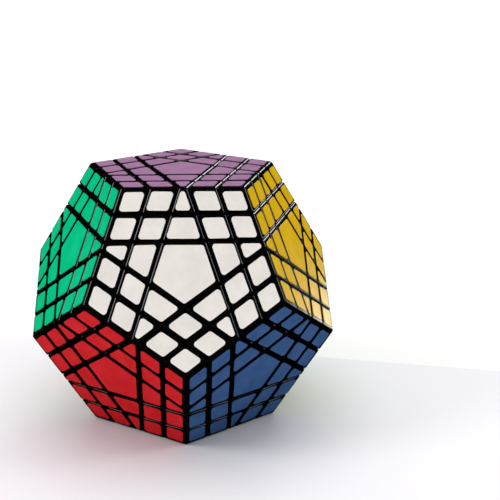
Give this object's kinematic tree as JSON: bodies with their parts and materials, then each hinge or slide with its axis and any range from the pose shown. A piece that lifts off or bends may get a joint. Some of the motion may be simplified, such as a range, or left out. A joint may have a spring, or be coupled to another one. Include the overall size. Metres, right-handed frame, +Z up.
{
  "type": "dodecahedron twisty puzzle",
  "caption": "Dodecahedral twisty puzzle whose pentagonal faces are cut twice along each side, with outer and second layers that turn about three of its face axes.",
  "frame": {"origin": "centre of the bottom face, which the puzzle rests on", "axes": "+Z up along the axis of the top face; the front face looks along -Y and upwards"},
  "size_m": [0.0994, 0.1046, 0.0846],
  "materials": {
    "black_plastic": "smooth moulded ABS, semi-gloss",
    "core_plastic": "moulded nylon",
    "steel": "zinc plated",
    "sticker_white": "satin vinyl sticker",
    "sticker_purple": "satin vinyl sticker",
    "sticker_green": "satin vinyl sticker",
    "sticker_yellow": "satin vinyl sticker",
    "sticker_red": "satin vinyl sticker",
    "sticker_blue": "satin vinyl sticker",
    "sticker_orange": "satin vinyl sticker",
    "sticker_light_blue": "satin vinyl sticker",
    "sticker_lime": "satin vinyl sticker",
    "sticker_grey": "satin vinyl sticker",
    "sticker_cream": "satin vinyl sticker",
    "sticker_pink": "satin vinyl sticker"
  },
  "bodies": {
    "core": {"core_spider": "core_plastic", "fixed_pieces": "black_plastic", "front_centre": "black_plastic", "right_centre": "black_plastic", "back_right_centre": "black_plastic", "back_left_centre": "black_plastic", "left_centre": "black_plastic", "lower_front_right_centre": "black_plastic", "lower_back_centre": "black_plastic", "lower_left_centre": "black_plastic", "bottom_centre": "black_plastic", "top_screw": "steel", "top_spring": "steel", "lower_front_left_screw": "steel", "lower_front_left_spring": "steel", "lower_right_screw": "steel", "lower_right_spring": "steel"},
    "top_layer": {"top_corner_1": "black_plastic", "top_corner_2": "black_plastic", "top_corner_3": "black_plastic", "top_corner_4": "black_plastic", "top_corner_5": "black_plastic", "top_wing_1": "black_plastic", "top_wing_2": "black_plastic", "top_wing_3": "black_plastic", "top_wing_4": "black_plastic", "top_wing_5": "black_plastic", "top_wing_6": "black_plastic", "top_wing_7": "black_plastic", "top_wing_8": "black_plastic", "top_wing_9": "black_plastic", "top_wing_10": "black_plastic", "top_mid_edge_1": "black_plastic", "top_mid_edge_2": "black_plastic", "top_mid_edge_3": "black_plastic", "top_mid_edge_4": "black_plastic", "top_mid_edge_5": "black_plastic", "top_x_centre_1": "black_plastic", "top_x_centre_2": "black_plastic", "top_x_centre_3": "black_plastic", "top_x_centre_4": "black_plastic", "top_x_centre_5": "black_plastic", "top_t_centre_1": "black_plastic", "top_t_centre_2": "black_plastic", "top_t_centre_3": "black_plastic", "top_t_centre_4": "black_plastic", "top_t_centre_5": "black_plastic", "top_centre_cap": "black_plastic", "top_centre_stem": "black_plastic"},
    "top_slice": {"top_slice_ring": "black_plastic"},
    "lower_front_left_layer": {"lower_front_left_layer_ring": "black_plastic", "lower_front_left_centre_cap": "black_plastic", "lower_front_left_centre_stem": "black_plastic"},
    "lower_front_left_slice": {"lower_front_left_slice_ring": "black_plastic"},
    "lower_right_layer": {"lower_right_layer_ring": "black_plastic", "lower_right_centre_cap": "black_plastic", "lower_right_centre_stem": "black_plastic"},
    "lower_right_slice": {"lower_right_slice_ring": "black_plastic"}
  },
  "joints": [
    {"name": "top_layer_turn", "type": "hinge", "parent": "core", "child": "top_layer", "pos_m": [0, 0, 0.04231], "axis": [0, 0, 1], "continuous": true},
    {"name": "top_slice_turn", "type": "hinge", "parent": "core", "child": "top_slice", "pos_m": [0, 0, 0.04231], "axis": [0, 0, 1], "continuous": true},
    {"name": "lower_front_left_layer_turn", "type": "hinge", "parent": "core", "child": "lower_front_left_layer", "pos_m": [0, 0, 0.04231], "axis": [-0.5257, -0.7236, -0.4472], "continuous": true},
    {"name": "lower_front_left_slice_turn", "type": "hinge", "parent": "core", "child": "lower_front_left_slice", "pos_m": [0, 0, 0.04231], "axis": [-0.5257, -0.7236, -0.4472], "continuous": true},
    {"name": "lower_right_layer_turn", "type": "hinge", "parent": "core", "child": "lower_right_layer", "pos_m": [0, 0, 0.04231], "axis": [0.8507, 0.2764, -0.4472], "continuous": true},
    {"name": "lower_right_slice_turn", "type": "hinge", "parent": "core", "child": "lower_right_slice", "pos_m": [0, 0, 0.04231], "axis": [0.8507, 0.2764, -0.4472], "continuous": true}
  ]
}
